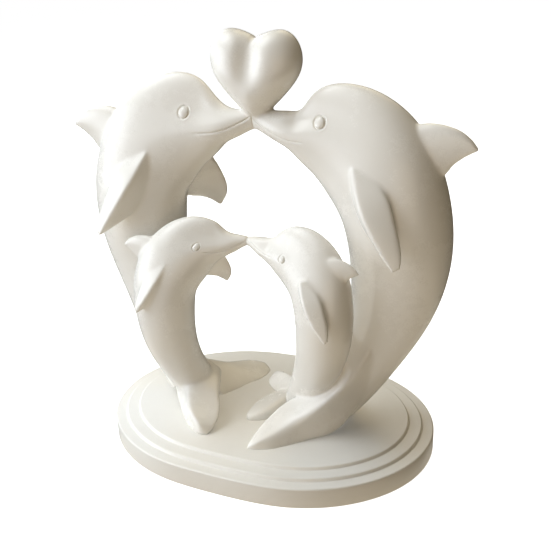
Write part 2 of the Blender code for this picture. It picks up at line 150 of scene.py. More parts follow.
# Girth at each row of a body: towards the back, towards the belly, to each side.
PARENT_GIRTH = np.array([
    (1.8, 2.5, 2.0), (2.9, 3.3, 3.0), (3.9, 4.2, 4.2), (5.0, 4.8, 5.0), (5.8, 6.2, 5.5), (11.0, 8.6, 6.0),
    (14.8, 10.6, 6.6), (16.5, 13.5, 7.6), (16.2, 14.8, 9.3), (14.9, 14.9, 10.5), (14.2, 14.7, 10.8),
    (13.4, 13.5, 9.8), (12.0, 11.4, 8.6), (9.9, 9.4, 7.5), (8.3, 7.7, 6.8), (6.6, 6.3, 6.4), (5.0, 5.4, 6.4),
])
CALF_GIRTH = np.array([
    (1.6, 1.9, 1.8), (2.6, 3.1, 2.8), (3.9, 4.4, 3.9), (5.2, 4.9, 5.0), (6.0, 6.2, 6.0), (10.2, 7.2, 6.8),
    (15.3, 9.2, 7.5), (16.9, 11.3, 8.4), (16.0, 11.8, 9.6), (14.3, 12.3, 10.4), (12.8, 12.9, 10.4),
    (11.6, 12.9, 9.9), (10.4, 12.6, 9.2), (9.2, 11.7, 8.4), (8.4, 10.4, 7.9), (7.9, 9.4, 7.6),
    (7.5, 8.6, 7.6),
])

# Middle line of each body at the same rows: outwards from the pair's middle plane, away from the viewer, up.
PARENT_LINE = np.array([
    (-0.5, 0, 88.9), (3.0, 0, 88.4), (6.5, 0, 87.5), (9.8, 0, 86.7), (12.5, 0.2, 86.1), (15.3, 0.5, 85.6),
    (20.0, 0.7, 84.7), (27.0, 0.6, 82.0), (34.0, 0.4, 76.8), (38.8, 0.9, 68.8), (40.8, 2.1, 58.5),
    (40.2, 3.0, 48.0), (38.0, 3.0, 37.5), (34.5, 2.2, 27.5), (30.2, 1.3, 18.0), (26.0, 0.5, 9.5),
    (22.5, 0, 3.5),
])
LEFT_PARENT_LINE = PARENT_LINE.copy()
LEFT_PARENT_TAIL_OUT = (1.5, 3.3, 4.5, 5.0)
LEFT_PARENT_LINE[-4:, 0] += LEFT_PARENT_TAIL_OUT
LEFT_CALF_LINE = np.array([
    (-0.8, -12.2, 90.2), (3.0, -12.4, 89.8), (6.4, -12.9, 89.0), (9.6, -13.3, 88.0), (12.4, -13.5, 87.4),
    (15.2, -13.9, 86.9), (20.0, -15.2, 85.6), (25.8, -17.4, 82.4), (32.4, -20.2, 76.8), (37.4, -21.8, 69.2),
    (39.8, -22.1, 60.0), (40.8, -21.5, 49.6), (41.0, -19.5, 39.2), (39.7, -16.4, 28.8), (37.2, -12.2, 19.2),
    (34.6, -8.0, 10.4), (33.0, -5.0, 4.8),
])
RIGHT_CALF_LINE = np.array([
    (-0.8, -12.2, 90.2), (3.0, -12.4, 89.8), (6.4, -12.9, 89.0), (9.6, -13.3, 88.0), (12.4, -13.5, 87.4),
    (15.2, -13.9, 86.9), (20.0, -15.2, 85.6), (27.6, -17.4, 82.4), (34.4, -20.2, 76.8), (38.2, -21.8, 69.2),
    (40.0, -22.1, 60.0), (39.4, -20.5, 50.4), (37.1, -17.2, 40.8), (33.5, -13.2, 32.0), (28.7, -8.2, 23.2),
    (23.6, -2.5, 14.4), (18.8, 2.4, 4.6),
])

# How much fuller the left calf is from its chest on, and the shares of a body's length where that comes in
LEFT_CALF_SWELL = 1.16
SWELL_COMES = (0.38, 0.52)

# The round nose: its bulge as a share of its side girth, and the angles of its first and last ring
NOSE_BULGE = 0.8
NOSE_TURN = (1.5, 0.15)

# Rings: how quickly the belly girth turns into the back girth, and the cosine where the pinch is full
GIRTH_TURN = 0.9
PINCH_FULL = 0.55

# Extra back girth over the rows from the forehead to the nape.
BROW_ROWS = slice(3, 9)
LEFT_PARENT_BROW = (1.6, 5.4, 2.6, 1.8, 0.8, 0)
RIGHT_PARENT_BROW = (0, 0, 0, 0, 0.6, 0.8)
LEFT_CALF_BROW = (1.2, 3.8, 1.6, 0, -0.6, -0.4)
RIGHT_CALF_BROW = (0, 0, 0, 0.3, 1.8, 1.4)

# How much narrower each row is above its middle, where the forehead meets the beak.
BROW_PINCH = (0, 0, 0.05, 0.2, 0.4, 0.42, 0.3, 0.12, 0, 0, 0, 0, 0, 0, 0, 0, 0)

# The heart's outline: the round wave and the higher ones in turn, the shares of sine and cubed sine across,
# the depth and width of the notch on top, and the power of the puff. The valley is lower than the lobes by a
# share, starts at a share of the height and is full a share further up. The last is the angle by which the
# heart leans.
HEART_ROUND = 23.2
HEART_WAVES = (-5.2, -2.23, -0.69, 0.11, 0.34)
HEART_ACROSS = (0.43, 0.57)
HEART_NOTCH = 2.0
HEART_NOTCH_WIDTH = 0.14
HEART_PUFF = 0.9
HEART_VALLEY = 0.36
HEART_VALLEY_START = 0.2
HEART_VALLEY_RISE = 0.6
HEART_LEAN = 0.02

# A fin's section is full in front and thinner behind. Corners are cut back by a share of each side: that of
# the fin or the wedge in the first round, and the corner's own in the rounds that follow.
FIN_FULL = 1.18
FIN_THINNING = 0.42
FIN_CUT = 0.1
WEDGE_CUT = 0.14
CORNER_CUT = 0.25
CORNER_ROUNDS = 3

# Fins are drawn on a parent and move with the shoulder, a row of the body. Each rail runs from root to tip.
SHOULDER = 9
DORSAL_LEAD = np.array([(42, 0, 88.5), (46.5, 0, 90), (51, 0, 90), (55.5, 0, 88.8), (58.7, 0, 86.6),
                        (60.6, 0, 84.2)])
DORSAL_TRAIL = np.array([(50, 0, 75), (52.8, 0, 77.5), (54.5, 0, 79.8), (56.5, 0, 81.5), (58.5, 0, 82.8),
                         (60.4, 0, 83.8)])
DORSAL_THICK = (2.8, 2.4, 2.0, 1.5, 1.0, 0.5)

FAR_LEAD = np.array([(20, 5, 79), (20, 10, 75.5), (19.3, 13, 71.5), (17.8, 14.5, 66.5), (17.8, 15, 62.5),
                     (20, 15, 58.5)])
FAR_TRAIL = np.array([(34, 5, 65), (32, 10, 62), (29.5, 12.5, 61), (26.5, 14, 60.7), (24, 14.8, 60),
                      (20.8, 15, 58.6)])
FAR_THICK = (2.8, 2.2, 1.8, 1.4, 1.1, 0.6)

NEAR_BELLY = np.array([(29, 7.0, 77.5), (30.2, 7.8, 71.5), (32.5, 8.2, 65.5), (36.5, 9.4, 60.5),
                       (43.6, 15, 55.4)])
NEAR_CREST = np.array([(30.6, 8.8, 79), (33, 12.8, 72.8), (36.1, 15.2, 67), (40.4, 16.2, 60.4),
                       (44, 15.9, 55.2)])
NEAR_REAR = np.array([(33.2, 7.4, 79.6), (40.6, 10.5, 73.6), (43.8, 12.3, 66.9), (45.9, 13.7, 60.6),
                      (46.4, 15, 56.3)])
NEAR_ROOT = np.array([(33, 5, 78), (38, 5, 72.5), (40, 5.5, 66), (41.5, 8, 60.5), (44.2, 14.8, 55.8)])

# A parent's fluke: its ridge, the foot of its outer wall and its trailing edge. That edge has a depth, which
# thins by a share towards the tip.
FLUKE_RIDGE = np.array([(29, 3, 20), (26.5, 7, 15), (23.2, 10.6, 11.8), (20, 13.2, 9.5), (17.6, 17, 7.7),
                        (14.2, 21.2, 6.2), (9.2, 24.4, 3.8), (5.6, 24.4, 0.9)])
FLUKE_FOOT = np.array([(31, 3, 10), (28.5, 7, 4), (25.3, 11, 0), (22.5, 14, -1.2), (19, 17.5, -1.2),
                       (14.6, 21.4, -1.2), (9, 24.4, -1.2), (5.4, 24.4, -0.8)])
FLUKE_TRAIL = np.array([(15, 0, 10), (12.3, 5.5, 9.4), (10.2, 10.5, 8), (8, 14, 5.8), (6.5, 17.5, 4),
                        (5.8, 20.5, 2.6), (5.4, 22.6, 1.6), (5.3, 24, 0.7)])
FLUKE = (FLUKE_RIDGE, FLUKE_FOOT, FLUKE_TRAIL)
FLUKE_EDGE = 1.8
FLUKE_THINNING = 0.7

# The right parent's near fluke starts higher, as a keel along its tail in front of the right calf.
TAIL_RIDGE = np.array([(38, 1.5, 38), (36.8, 4.6, 30.7), (33.3, 7.9, 22.9), (29.2, 10.3, 17.1),
                       (24.2, 12.4, 12.2), (19.7, 14.4, 8.4), (16.2, 16.4, 6), (13.3, 18.8, 4.4),
                       (10.6, 21.6, 3.2), (8, 23.8, 2.2), (5.6, 24.4, 0.9)])
TAIL_FOOT = np.array([(36, 0, 34), (38.2, 2, 25), (36, 2.5, 16), (32.5, 3, 8), (28.8, 5, 1), (25.5, 9, -1.2),
                      (20.8, 13.6, -1.2), (16.6, 18.4, -1.2), (12, 22.6, -1.2), (8.2, 24, -1.2),
                      (5.4, 24.4, -0.8)])
TAIL_TRAIL = np.array([(28, 2, 36.5), (28.6, 5, 28.8), (27.2, 7.3, 21.5), (23.7, 8.2, 15.2),
                       (18.2, 7.8, 11.4), (13.2, 7.4, 9.6), (10.3, 10.4, 8), (8, 14, 5.8), (6.5, 17.6, 4),
                       (5.6, 21.6, 2), (5.3, 24, 0.7)])

# The share of a near fluke's ridge height that a far one has, and how far the left parent's fluke tips are
# moved: outwards, sideways and up
FAR_FLUKE_RISE = 0.62
LEFT_PARENT_FLUKE_TIP = (3.0, -2.4, 0)

# The right calf's own two flukes, in hundredths of its height: thin edge, ridge and foot of the outer wall,
# and the depth of the edge.
NEAR_LEAF_EDGE = np.array([(10, 20, 3), (3, 15, 1.8), (-2, 8.5, 1.5), (-4.3, 1.5, 1.4), (-4.9, -6, 1.2),
                           (-4.4, -12.5, 1.0), (-2.6, -16, 0.8)])
NEAR_LEAF_RIDGE = np.array([(17, 8, 8), (12.5, 5.5, 6.8), (9.2, 2.5, 5.6), (7.4, -3.5, 4.8),
                            (5.4, -9.5, 4.0), (2.4, -14, 2.8), (-1.4, -16.6, 1.2)])
NEAR_LEAF_FOOT = np.array([(21, 2, -1), (17.5, -1, -1), (14.5, -5, -1), (11.8, -9, -1), (8.4, -12.5, -1),
                           (4, -15.6, -1), (-1, -17.2, -0.6)])
FAR_LEAF_EDGE = np.array([(14, 4, -0.2), (8, 8, -0.2), (2, 11.5, -0.2), (-3.5, 15.2, -0.2), (-8, 20.5, 0),
                          (-9.6, 25.5, 0.2), (-9.2, 29.5, 0.3)])
FAR_LEAF_RIDGE = np.array([(18, 4, 9), (13, 12, 8.6), (7.6, 18.5, 8.2), (2.5, 23.3, 7.4), (-2.5, 26.4, 6),
                           (-6.5, 29.4, 3.6), (-8.6, 30.8, 1.2)])
FAR_LEAF_FOOT = np.array([(22, 8, -1), (17.5, 15, -1), (12, 22.5, -1), (6, 28, -1), (0, 31.5, -1),
                          (-4.5, 33, -1), (-8, 32.5, -0.6)])
LEAF_EDGE = 3

# Faces: the mouth line of a parent, as reach from the pair's middle plane and height, where it starts and
# how softly it starts and ends, and each face's own placing.
MOUTH_LINE = np.array([(0.6, 89.3), (2.5, 88.1), (4.6, 87.0), (7.0, 85.9), (10.0, 85.0), (13.0, 84.6),
                       (16.0, 84.5), (19.0, 84.5)])
MOUTH_START = 0.3
MOUTH_START_FADE = 0.8
MOUTH_END_FADE = 2.5
FACES = {
    "left_parent": dict(mouth_lift=0.35, mouth_end=17.2, eye=(20.1, 90.2)),
    "right_parent": dict(mouth_lift=-0.35, mouth_end=16.4, eye=(20.3, 89.5)),
    "left_calf": dict(mouth_lift=0.8, mouth_end=18.8, eye=(20.5, 87.9)),
    "right_calf": dict(mouth_lift=2.3, mouth_end=16.0, eye=(21.1, 87.3)),
}

# The figures: the side each stands on, its body and what it changes of the shared shapes. Its dorsal, near
# and far fin are moved by the places given here.
PARENT = dict(girth=PARENT_GIRTH, height=PARENT_HEIGHT, swell=1.0,
              dorsal=(0, 0, 0), near=(0, 0, 0), far=(0, 0, 0))
CALF = dict(girth=CALF_GIRTH, height=CALF_HEIGHT, flukes=None)
FIGURES = {
    "left_parent": dict(PARENT, side=-1, line=LEFT_PARENT_LINE, brow=LEFT_PARENT_BROW,
                        flukes=LEFT_PARENT_FLUKE_TIP),
    "right_parent": dict(PARENT, side=1, line=PARENT_LINE, brow=RIGHT_PARENT_BROW,
                         flukes=(0, 0, 0), near_fluke=(TAIL_RIDGE, TAIL_FOOT, TAIL_TRAIL)),
    "left_calf": dict(CALF, side=-1, line=LEFT_CALF_LINE, swell=LEFT_CALF_SWELL, brow=LEFT_CALF_BROW,
                      dorsal=(0, 0, 0), near=(3, 1, 2), far=(-5, 0, 8)),
    "right_calf": dict(CALF, side=1, line=RIGHT_CALF_LINE, swell=1.0, brow=RIGHT_CALF_BROW,
                       dorsal=(-4.2, -0.3, 0.4), near=(2, 1, 2), far=(2, -2, 4)),
}

# The view that the figurine is shown in: degrees, and metres from the target
VIEW_AZIMUTH = 24.78
VIEW_ELEVATION = 21.28
VIEW_ROLL = 1.67
VIEW_FIELD = 37.0
VIEW_DISTANCE = 0.47846
VIEW_NEAREST = 0.01
VIEW_TARGET = Vector((0.00578, 0, 0.1026))

# Soft lamps: the angle from the camera's side to the right, the height angle, size, distance, power per
# colour, and whether it casts shadows.
LAMPS = {
    "key": (-75, 58, 0.8, 1.2, (4.5, 4.7, 4.9), True),
    "left_high": (-100, 52, 0.6, 1.2, (3.8, 4.1, 4.3), True),
    "left_low": (-90, 8, 0.8, 1.2, (7.3, 7.9, 8.5), False),
    "left_front": (-65, 8, 0.8, 1.2, (3.0, 3.1, 3.4), False),
    "front": (0, 4, 0.8, 1.2, (3.1, 2.5, 1.7), True),
    "far_left": (-142, 24, 0.8, 1.2, (4.3, 4.5, 4.7), True),
    "far_right": (150, 58, 0.8, 1.2, (4.3, 3.6, 2.4), True),
    "top": (0, 88, 0.8, 1.2, (1.2, 1.1, 0.8), True),
    "floor_bounce": (0, -88, 2.0, 0.8, (11.8, 10.7, 8.8), True),
}

# The white sweep under and round the figurine: the radius of its flat middle and of its dome
FLOOR_FLAT = 0.5
FLOOR_REACH = 9.0
FLOOR_SIDES = 48
FLOOR_RINGS = 12

# The resin: the deeper and the paler ivory of each piece with its roughness, and the noises over it, each by
# its grain in metres, its detail and its roughness. Clouds, mottle and specks have shares in the tint and in
# the sheen, and waves and specks in the depth of the peel.
CASTING_RESIN = ((0.815, 0.78, 0.715), (0.86, 0.84, 0.79), 0.27)
PLINTH_RESIN = ((0.81, 0.775, 0.71), (0.86, 0.84, 0.785), 0.32)
RESIN_IOR = 1.48
CLOUDS = (0.045, 3, 0.5)
MOTTLE = (0.006, 4, 0.6)
SPECKS = (0.0007, 1, 0.5)
WAVES = (0.0035, 2, 0.5)
TINT_SHARES = (0.9, 0.3, 0.1)
SHEEN_SHARES = (0.08, 0.03, 0.02)
PEEL_SHARES = (0.7, 0.3)
PEEL_DEPTH = 0.000012


def smooth_rows(rows, count):
    """A smooth curve through the rows, evenly stepped from row to row.

    It is a Catmull-Rom spline over every column, with a mirrored row before the first and after the last.
    """
    rows = np.asarray(rows, float)
    padded = np.vstack([2 * rows[:1] - rows[1:2], rows, 2 * rows[-1:] - rows[-2:-1]])
    place = np.linspace(0, len(rows) - 1, count)
    start = np.minimum(place.astype(int), len(rows) - 2)
    share = (place - start)[:, None]
    before, here, there, after = (padded[start + step] for step in range(4))
    return 0.5 * (2 * here + (there - before) * share
                  + (2 * before - 5 * here + 4 * there - after) * share ** 2
                  + (3 * here - before - 3 * there + after) * share ** 3)


def unit_rows(rows):
    """Each row at length one."""
    return rows / np.linalg.norm(rows, axis=-1, keepdims=True)


def smooth_step(values):
    """A soft rise from 0 to 1: three times the square less twice the cube."""
    values = np.clip(values, 0, 1)
    return values * values * (3 - 2 * values)


def bump(distance, width):
    """A bell over a distance, 1 in its middle: one over e to the square of the distance by the width."""
    return np.exp(-(distance / width) ** 2)


def egg_rings(middle, girth, sides, sideways, pinch=0):
    """Egg-shaped rings across a line: cosine times the back or the belly girth, sine times the side girth.

    The pinch is the share by which a ring is narrower above its middle.
    """
    along = unit_rows(np.gradient(middle, axis=0))
    side = unit_rows(np.cross(along, np.cross(sideways, along)))
    back = unit_rows(np.cross(along, side))
    angle = np.linspace(0, 2 * np.pi, sides, endpoint=False)
    share = smooth_step(0.5 + GIRTH_TURN * np.cos(angle))
    rise = (girth[:, :1] * share + girth[:, 1:2] * (1 - share)) * np.cos(angle)
    reach = girth[:, 2:] * np.sin(angle) * (1 - pinch * smooth_step(np.cos(angle) / PINCH_FULL))
    rings = middle[:, None] + back[:, None] * rise[..., None] + side[:, None] * reach[..., None]
    return rings, along


def evened(rings):
    """Rings with the ripples between rows taken out: twice their mean along the body, less that mean's mean.

    The mean is weighted by a bell. Past both ends the rings go on as their reflection through the end ring.
    """
    reach = np.arange(-EVEN_REACH, EVEN_REACH + 1)
    weights = np.exp(-0.5 * (reach / EVEN_RINGS) ** 2)
    weights /= weights.sum()

    def mean(stack):
        """The bell-weighted mean along the body."""
        before = 2 * stack[:1] - stack[EVEN_REACH:0:-1]
        after = 2 * stack[-1:] - stack[-2:-EVEN_REACH - 2:-1]
        padded = np.concatenate([before, stack, after])
        return sum(weight * padded[step:step + len(stack)] for step, weight in enumerate(weights))

    return 2 * mean(rings) - mean(mean(rings))


def body_rings(line, girth, swell):
    """Rings of a body along its middle line. From the chest on it is fuller by the swell.

    The nose is rounded shut by rings that draw in with the cosine of a turn and bulge out with its sine.
    """
    figures = smooth_rows(np.hstack([line, girth]), BODY_RINGS)
    middle, girth = figures[:, :3], figures[:, 3:]
    girth = girth * np.interp(np.linspace(0, 1, BODY_RINGS), SWELL_COMES, (1, swell))[:, None]
    pinch = smooth_rows(np.array(BROW_PINCH)[:, None], BODY_RINGS)
    rings, along = egg_rings(middle, girth, BODY_SIDES, (0.0, 1.0, 0.0), pinch)
    rings = evened(rings)
    bulge = along[0] * girth[0, 2] * NOSE_BULGE
    nose = [middle[0] + (rings[0] - middle[0]) * np.cos(turn) - bulge * np.sin(turn)
            for turn in np.linspace(*NOSE_TURN, NOSE_RINGS)]
    return np.concatenate([nose, rings])


def softened(corners, cut):
    """A closed outline with its corners cut back by a share of each side, round after round."""
    for _ in range(CORNER_ROUNDS):
        following = np.roll(corners, -1, axis=-2)
        pairs = np.stack([(1 - cut) * corners + cut * following, cut * corners + (1 - cut) * following],
                         axis=-2)
        corners = pairs.reshape(*corners.shape[:-2], -1, corners.shape[-1])
        cut = CORNER_CUT
    return corners


def rail_rings(rails, cut):
    """Rings that join the smooth curves through a few rails, with softened corners."""
    return softened(np.stack([smooth_rows(rail, FIN_RINGS) for rail in rails], axis=1), cut)


def blade_rings(lead, trail, thickness):
    """Rings of a thin fin from its leading to its trailing edge.

    Its half thickness is a sine over the chord, and thins evenly from front to back.
    """
    lead, trail = smooth_rows(lead, FIN_RINGS), smooth_rows(trail, FIN_RINGS)
    depth = smooth_rows(np.array(thickness)[:, None], FIN_RINGS)
    turn = np.linspace(0, 2 * np.pi, FIN_SIDES, endpoint=False)
    chord_share = 0.5 - 0.5 * np.cos(turn)
    swelling = np.sin(turn) * (FIN_FULL - FIN_THINNING * chord_share)
    chord = lead[:, None] + (trail - lead)[:, None] * chord_share[None, :, None]
    return chord + np.array((0, 1, 0)) * (depth * swelling[None])[..., None]


def wedge_rings(ridge, foot, edge, depth):
    """Rings of a wedge between its ridge, the foot of its outer wall and its edge, which has a depth."""
    under = edge - np.array((0, 0, 1)) * np.reshape(depth, (-1, 1))
    return rail_rings([ridge, foot, under, edge], WEDGE_CUT)


def fluke_rings(rails, rise, trail_rise, tip):
    """Rings of one fluke: a wedge with its ridge and its trailing edge raised by a share of their heights.

    The tip is moved by its own shift, which grows with the square of the way out, and the edge thins evenly.
    """
    ridge, foot, trail = rails
    share = np.linspace(0, 1, len(trail))[:, None]
    shift = np.array(tip) * share ** 2
    ridge, trail = ridge * (1, 1, rise), trail * (1, 1, trail_rise)
    return wedge_rings(ridge + shift, foot + shift, trail + shift, FLUKE_EDGE * (1 - FLUKE_THINNING * share))


def ring_faces(count, sides):
    """The faces of a stack of rings: quads between neighbours and one face over each end."""
    row = np.arange(count - 1)[:, None] * sides
    here = np.arange(sides)[None]
    there = (here + 1) % sides
    quads = np.stack([row + here, row + there, row + sides + there, row + sides + here], axis=-1)
    ends = [list(range(sides - 1, -1, -1)), list(range((count - 1) * sides, count * sides))]
    return quads.reshape(-1, 4).tolist() + ends


def placed(rings, height, side):
    """Rings of a figure moved from hundredths of its height to its place on its side of the plinth."""
    scale = np.array((side, 1, 1)) * height / 100
    return rings * scale + np.array((PAIR_SHIFT_X, PAIR_SHIFT_Y, PLATEAU))


def dolphin_rings(line, girth, height, side, swell, brow, dorsal, near, far, flukes, near_fluke=FLUKE):
    """The closed surfaces of one dolphin: body, three fins and, where they are drawn with it, two flukes."""
    girth = girth.copy()
    girth[BROW_ROWS, 0] += brow
    shoulder = line[SHOULDER] - PARENT_LINE[SHOULDER]
    viewer = np.array((1, -1, 1))
    pieces = [
        body_rings(line, girth, swell),
        blade_rings(DORSAL_LEAD, DORSAL_TRAIL, DORSAL_THICK) + shoulder + dorsal,
        blade_rings(FAR_LEAD, FAR_TRAIL, FAR_THICK) + shoulder + far,
        rail_rings([NEAR_ROOT, NEAR_BELLY, NEAR_CREST, NEAR_REAR], FIN_CUT) * viewer + shoulder + near,
    ]
    if flukes:
        pieces += [fluke_rings(near_fluke, 1, 1, flukes) * viewer,
                   fluke_rings(FLUKE, FAR_FLUKE_RISE, 0, flukes)]
    return [placed(rings, height, side) for rings in pieces]


def heart_rings():
    """Rings of the puffy heart from its front to its back: a rim drawn in towards the middle as it swells.

    The rim is a sum of sines and cosines with a notch on top. Its lobes round off and a valley runs down
    between them as the rings draw in. The whole leans sideways by a small angle.
    """
    turn = np.linspace(0, 2 * np.pi, HEART_SIDES, endpoint=False)[None]
    tilt = np.linspace(-0.5 * np.pi, 0.5 * np.pi, 2 * HEART_RINGS + 1)[1:-1, None]
    inner = np.cos(tilt) ** HEART_PUFF
    across = HEART_ACROSS[0] * np.sin(turn) + HEART_ACROSS[1] * np.sin(turn) ** 3
    across = across / np.ptp(across) * HEART_WIDTH
    lobes = sum(size * np.cos(order * turn) for order, size in enumerate(HEART_WAVES, start=2))
    lobes = lobes - HEART_NOTCH * bump(np.sin(turn), HEART_NOTCH_WIDTH) * (np.cos(turn) > 0)
    rim = HEART_ROUND * np.cos(turn) + lobes
    up = (HEART_ROUND * np.cos(turn) + lobes * inner - rim.min()) / np.ptp(rim) - 0.5
    across, up = across * inner, HEART_HEIGHT * (up * inner + 0.5)
    fading = smooth_step((up / HEART_HEIGHT - HEART_VALLEY_START) / HEART_VALLEY_RISE)
    valley = HEART_VALLEY * bump(across, HEART_VALLEY_WIDTH) * fading
    depth = 0.5 * HEART_DEPTH * np.sin(tilt) * (1 - valley)
    lean = np.array((np.cos(HEART_LEAN), np.sin(HEART_LEAN)))
    rings = np.stack([across * lean[0] + up * lean[1], depth, up * lean[0] - across * lean[1]], axis=2)
    return rings + np.array((PAIR_SHIFT_X + HEART_OFF_MIDDLE, PAIR_SHIFT_Y, PLATEAU + HEART_SEAT))


def mesh_from(name, stacks):
    """A mesh of several stacks of rings, with its faces turned outwards."""
    points, faces, start = [], [], 0
    for rings in stacks:
        count, sides = rings.shape[:2]
        points.append(rings.reshape(-1, 3))
        faces += [[corner + start for corner in face] for face in ring_faces(count, sides)]
        start += count * sides
    mesh = bpy.data.meshes.new(name)
    mesh.from_pydata(np.concatenate(points), [], faces)
    work = bmesh.new()
    work.from_mesh(mesh)
    bmesh.ops.recalc_face_normals(work, faces=work.faces)
    work.to_mesh(mesh)
    work.free()
    return mesh


def shown(name, data):
    """A new object at the origin, in the scene."""
    thing = bpy.data.objects.new(name, data)
    bpy.context.scene.collection.objects.link(thing)
    return thing


def settled(mesh, kind, **settings):
    """The mesh as one modifier leaves it."""
    carrier = shown("carrier", mesh)
    modifier = carrier.modifiers.new(kind.lower(), kind)
    for name, value in settings.items():
        setattr(modifier, name, value)
    shaped = bpy.data.meshes.new_from_object(carrier.evaluated_get(bpy.context.evaluated_depsgraph_get()))
    bpy.data.objects.remove(carrier)
    bpy.data.meshes.remove(mesh)
    return shaped


def rows_of(items, name):
    """A value of every item of a mesh, as rows of three."""
    rows = np.empty(len(items) * 3, np.float32)
    items.foreach_get(name, rows)
    return rows.reshape(-1, 3).astype(float)


def points_of(mesh):
    """Where the mesh's points are."""
    return rows_of(mesh.vertices, "co")


def normals_of(mesh):
    """The normal at each of the mesh's points."""
    return rows_of(mesh.vertex_normals, "vector")


def set_points(mesh, points):
    """Moves the mesh's points."""
    mesh.vertices.foreach_set("co", points.astype(np.float32).ravel())
    mesh.update()


def neighbour_mean(points, links, degree):
    """The mean of every point's neighbours."""
    one, other = links.T
    count = len(points)
    total = [np.bincount(one, points[other, axis], count) + np.bincount(other, points[one, axis], count)
             for axis in range(3)]
    return np.stack(total, axis=1) / degree[:, None]


def relax(mesh):
    """Softens a mesh: each point moves a share of the way to its neighbours' mean.

    The share is large where that mean lies outside the mesh, as in a crease, and small on a ridge.
    """
    links = np.empty(len(mesh.edges) * 2, np.int32)
    mesh.edges.foreach_get("vertices", links)
    links = links.reshape(-1, 2)
    points = points_of(mesh)
    degree = np.bincount(links.ravel(), minlength=len(points))
    for step in range(RELAX_ROUNDS):
        if step % RELAX_SHARED == 0:
            set_points(mesh, points)
            normals = normals_of(mesh)
        pull = neighbour_mean(points, links, degree) - points
        inward = np.sum(pull * normals, axis=1)
        points = points + pull * np.where(inward > 0, CREASE_PULL, RIDGE_PULL)[:, None]
    set_points(mesh, points)


def local(points, figure):
    """Points as a figure's own reach from the middle plane and height, in hundredths of its height."""
    reach = (points[:, 0] - PAIR_SHIFT_X) * figure["side"] / figure["height"] * 100
    height = (points[:, 2] - PLATEAU) / figure["height"] * 100
    return reach, height


def mouth_offset(points, figure, face):
    """Distance over (+) or under (-) the mouth line in metres, and how fully the line is cut there.

    The distance is the height over the line by the length of its slope. The cut goes from 0 to 1 and back
    to 0 along the line.
    """
    reach, height = local(points, figure)
    line = smooth_rows(MOUTH_LINE, MOUTH_STEPS)
    level = np.interp(reach, line[:, 0], line[:, 1]) + face["mouth_lift"]
    slope = np.interp(reach, line[:, 0], np.gradient(line[:, 1], line[:, 0]))
    over = (height - level) / np.hypot(1, slope) * figure["height"] / 100
    ending = smooth_step((face["mouth_end"] - reach) / MOUTH_END_FADE)
    return over, ending * smooth_step((reach - MOUTH_START) / MOUTH_START_FADE)


def eye_offset(points, figure, face):
    """Distances along and up from the middle of the eye, in metres of a parent."""
    reach, height = local(points, figure)
    along, up = face["eye"]
    return (reach - along) * PARENT_HEIGHT / 100, (height - up) * PARENT_HEIGHT / 100


def refine(mesh, near):
    """Splits the edges between marked points, and the faces along them."""
    work = bmesh.new()
    work.from_mesh(mesh)
    work.verts.ensure_lookup_table()
    edges = [edge for edge in work.edges if near[edge.verts[0].index] and near[edge.verts[1].index]]
    bmesh.ops.subdivide_edges(work, edges=edges, cuts=CARVING_CUTS, use_grid_fill=True)
    work.to_mesh(mesh)
    work.free()


def face_zone(points):
    """Which points lie near a mouth, an eye or a seam between beaks."""
    near = np.abs(points[:, 0] - PAIR_SHIFT_X) < SEAM_ZONE
    near &= beak_band(points) > 0
    for name, figure in FIGURES.items():
        over, depth = mouth_offset(points, figure, FACES[name])
        along, up = eye_offset(points, figure, FACES[name])
        near |= (np.abs(over) < MOUTH_ZONE) & (depth > 0)
        near |= np.hypot(along, up) < EYE_ZONE
    return near


def beak_band(points):
    """1 at the heights where two beaks meet, 0 elsewhere."""
    height = points[:, 2] - PLATEAU
    band = np.zeros(len(points))
    for level, half in BEAK_LEVELS:
        band = np.maximum(band, smooth_step((half - np.abs(height - level)) / BEAK_FADE))
    return band


def carve(mesh):
    """Cuts the mouths with their lips, the eyes with their sockets and rims, and the seams between beaks.

    Points move along their normals by bells over the distance from a line or a ring, and by domes. A calf's
    eyes are as much smaller as the calf is, and its mouth by the square root of that.
    """
    points, normals = points_of(mesh), normals_of(mesh)
    lift = -SEAM_DEPTH * bump(points[:, 0] - PAIR_SHIFT_X, SEAM_WIDTH) * beak_band(points)
    for name, figure in FIGURES.items():
        scale = figure["height"] / PARENT_HEIGHT
        fine = math.sqrt(scale)
        over, depth = mouth_offset(points, figure, FACES[name])
        over = over / fine
        lips = (LIP_SWELL * bump(over + LOWER_LIP_OFFSET, LOWER_LIP_WIDTH)
                + UPPER_LIP_SHARE * LIP_SWELL * bump(over - UPPER_LIP_OFFSET, UPPER_LIP_WIDTH))
        lift += fine * depth * (lips - MOUTH_DEPTH * bump(over, MOUTH_WIDTH))
        along, up = eye_offset(points, figure, FACES[name])
        out = np.hypot(along, up)
        socket = smooth_step(SOCKET_SLOPE * (1 - np.hypot(along / SOCKET_LENGTH, up / SOCKET_HEIGHT)))
        dome = EYE_RISE * np.sqrt(np.clip(1 - (out / EYE_RADIUS) ** 2, 0, 1))
        rim = RIM_DEPTH * bump(out - RIM_RADIUS, RIM_WIDTH)
        lid = LID_SHARE * RIM_DEPTH * bump(out - LID_RADIUS, LID_WIDTH)
        lift += scale * (dome - SOCKET_DEPTH * socket - rim + lid)
    set_points(mesh, points + normals * lift[:, None])


def trim(mesh, level):
    """Cuts the mesh off flat at a level and closes it there."""
    work = bmesh.new()
    work.from_mesh(mesh)
    whole = work.verts[:] + work.edges[:] + work.faces[:]
    bmesh.ops.bisect_plane(work, geom=whole, dist=SEAT_PRECISION, plane_co=(0, 0, level),
                           plane_no=(0, 0, -1), clear_outer=True)
    bmesh.ops.holes_fill(work, edges=[edge for edge in work.edges if edge.is_boundary], sides=0)
    bmesh.ops.triangulate(work, faces=[face for face in work.faces if len(face.verts) > 4])
    work.to_mesh(mesh)
    work.free()


